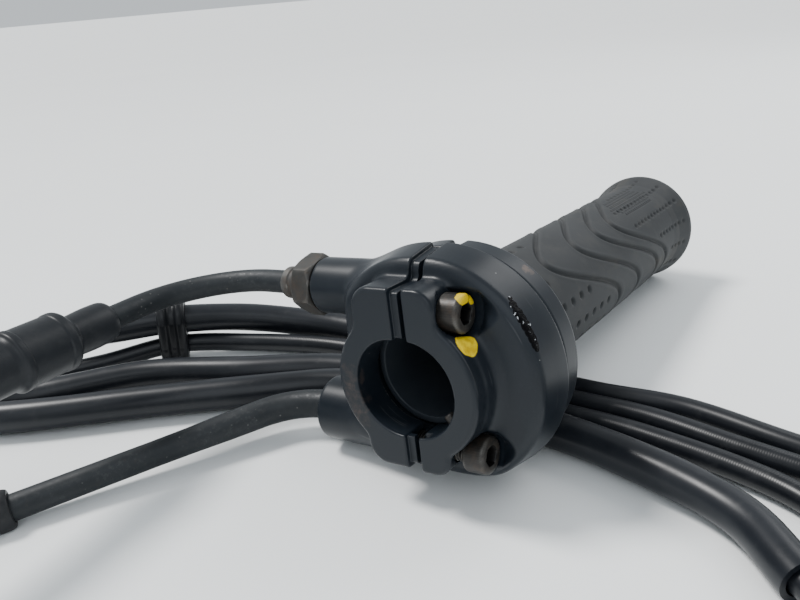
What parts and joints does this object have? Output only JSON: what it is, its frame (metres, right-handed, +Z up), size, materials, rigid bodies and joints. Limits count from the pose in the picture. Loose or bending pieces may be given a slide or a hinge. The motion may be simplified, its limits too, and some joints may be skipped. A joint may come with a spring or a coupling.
{
  "type": "throttle grip",
  "caption": "Motorcycle twist throttle: split clamp housing, drum tube with patterned rubber grip, and pull and return cables with bent steel elbows.",
  "frame": {"origin": "on the flat inboard face of the housing's clamp ring, mid-width of its front rim, level with the bar axis, which runs parallel to X through y = -13.8 mm, z = 0", "axes": "+X along the bar to the free end of the grip, +Y forward to the side the cables leave, +Z up"},
  "size_m": [0.3417, 0.4734, 0.0759],
  "materials": {
    "cast_housing": "black satin paint on an alloy casting, worn at the edges",
    "tube_nylon": "dark moulded nylon, slightly polished by use",
    "grip_rubber": "dusty matte black rubber",
    "boot_rubber": "soft black rubber with a faint sheen",
    "sheath": "black extruded sheath with a soft gloss",
    "sleeve": "black flexible sleeve",
    "screw_steel": "dark oxidised steel, worn bright on the rim",
    "black_tube": "black painted steel tube, speckled with wear",
    "worn_nut": "worn grey-brown plated steel",
    "wire": "stranded steel wire",
    "zinc": "dull zinc plate"
  },
  "bodies": {
    "housing": {"housing_front": "cast_housing", "pull_elbow_tube": "black_tube", "pull_elbow_nut": "worn_nut", "pull_elbow_collar": "worn_nut", "adjuster_screw": "zinc", "adjuster_locknut": "zinc", "adjuster_barrel": "zinc", "adjuster_boot": "boot_rubber", "return_elbow_tube": "black_tube", "return_elbow_collar": "black_tube", "return_cable_cap": "boot_rubber", "pull_cable_outer": "sheath", "return_cable_outer": "sheath", "pull_cable_sleeve_near": "sleeve", "pull_cable_sleeve_mid": "sleeve", "pull_cable_sleeve_far": "sleeve", "return_cable_sleeve": "sleeve", "cable_grommet": "boot_rubber", "pull_end_ferrule": "zinc", "pull_end_nut_a": "zinc", "pull_end_nut_b": "zinc", "return_end_ferrule": "zinc", "return_end_nut_a": "zinc", "return_end_nut_b": "zinc"},
    "rear_half": {"housing_rear": "cast_housing", "locating_peg": "screw_steel", "clamp_screw_upper": "screw_steel"},
    "lower_screw": {"clamp_screw_lower": "screw_steel"},
    "twist_grip": {"throttle_tube": "tube_nylon", "grip_rubber": "grip_rubber", "pull_wire_wrap": "wire", "return_wire_wrap": "wire", "pull_drum_nipple": "zinc", "return_drum_nipple": "zinc"},
    "pull_wire": {"pull_wire_straight": "wire"},
    "return_wire": {"return_wire_straight": "wire"},
    "pull_wire_end": {"pull_end_wire": "wire", "pull_end_nipple": "zinc"},
    "return_wire_end": {"return_end_wire": "wire", "return_end_nipple": "zinc"}
  },
  "joints": [
    {"name": "throttle_twist", "type": "hinge", "parent": "housing", "child": "twist_grip", "pos_m": [0, -0.0138, 0], "axis": [1, 0, 0], "range_deg": [0, 75]},
    {"name": "clamp_close", "type": "slide", "parent": "housing", "child": "rear_half", "axis": [0, 1, 0], "range_m": [0, 0.0029]},
    {"name": "lower_screw_in", "type": "slide", "parent": "housing", "child": "lower_screw", "axis": [0, 1, 0], "range_m": [0, 0.00566]},
    {"name": "pull_wire_draw", "type": "slide", "parent": "housing", "child": "pull_wire", "axis": [0, -1, 0], "range_m": [0, 0.021]},
    {"name": "return_wire_pay", "type": "slide", "parent": "housing", "child": "return_wire", "axis": [0, 1, 0], "range_m": [0, 0.021]},
    {"name": "pull_end_draw", "type": "slide", "parent": "housing", "child": "pull_wire_end", "axis": [0.2773, -0.9549, -0.106], "range_m": [0, 0.021]},
    {"name": "return_end_pay", "type": "slide", "parent": "housing", "child": "return_wire_end", "axis": [-0.1974, 0.9738, 0.1127], "range_m": [0, 0.021]}
  ],
  "couplings": [
    {"joint": "lower_screw_in", "follows": "clamp_close", "ratio": 1.95},
    {"joint": "pull_wire_draw", "follows": "throttle_twist", "m_per_rad": 0.016},
    {"joint": "return_wire_pay", "follows": "throttle_twist", "m_per_rad": 0.016},
    {"joint": "pull_end_draw", "follows": "throttle_twist", "m_per_rad": 0.016},
    {"joint": "return_end_pay", "follows": "throttle_twist", "m_per_rad": 0.016}
  ]
}
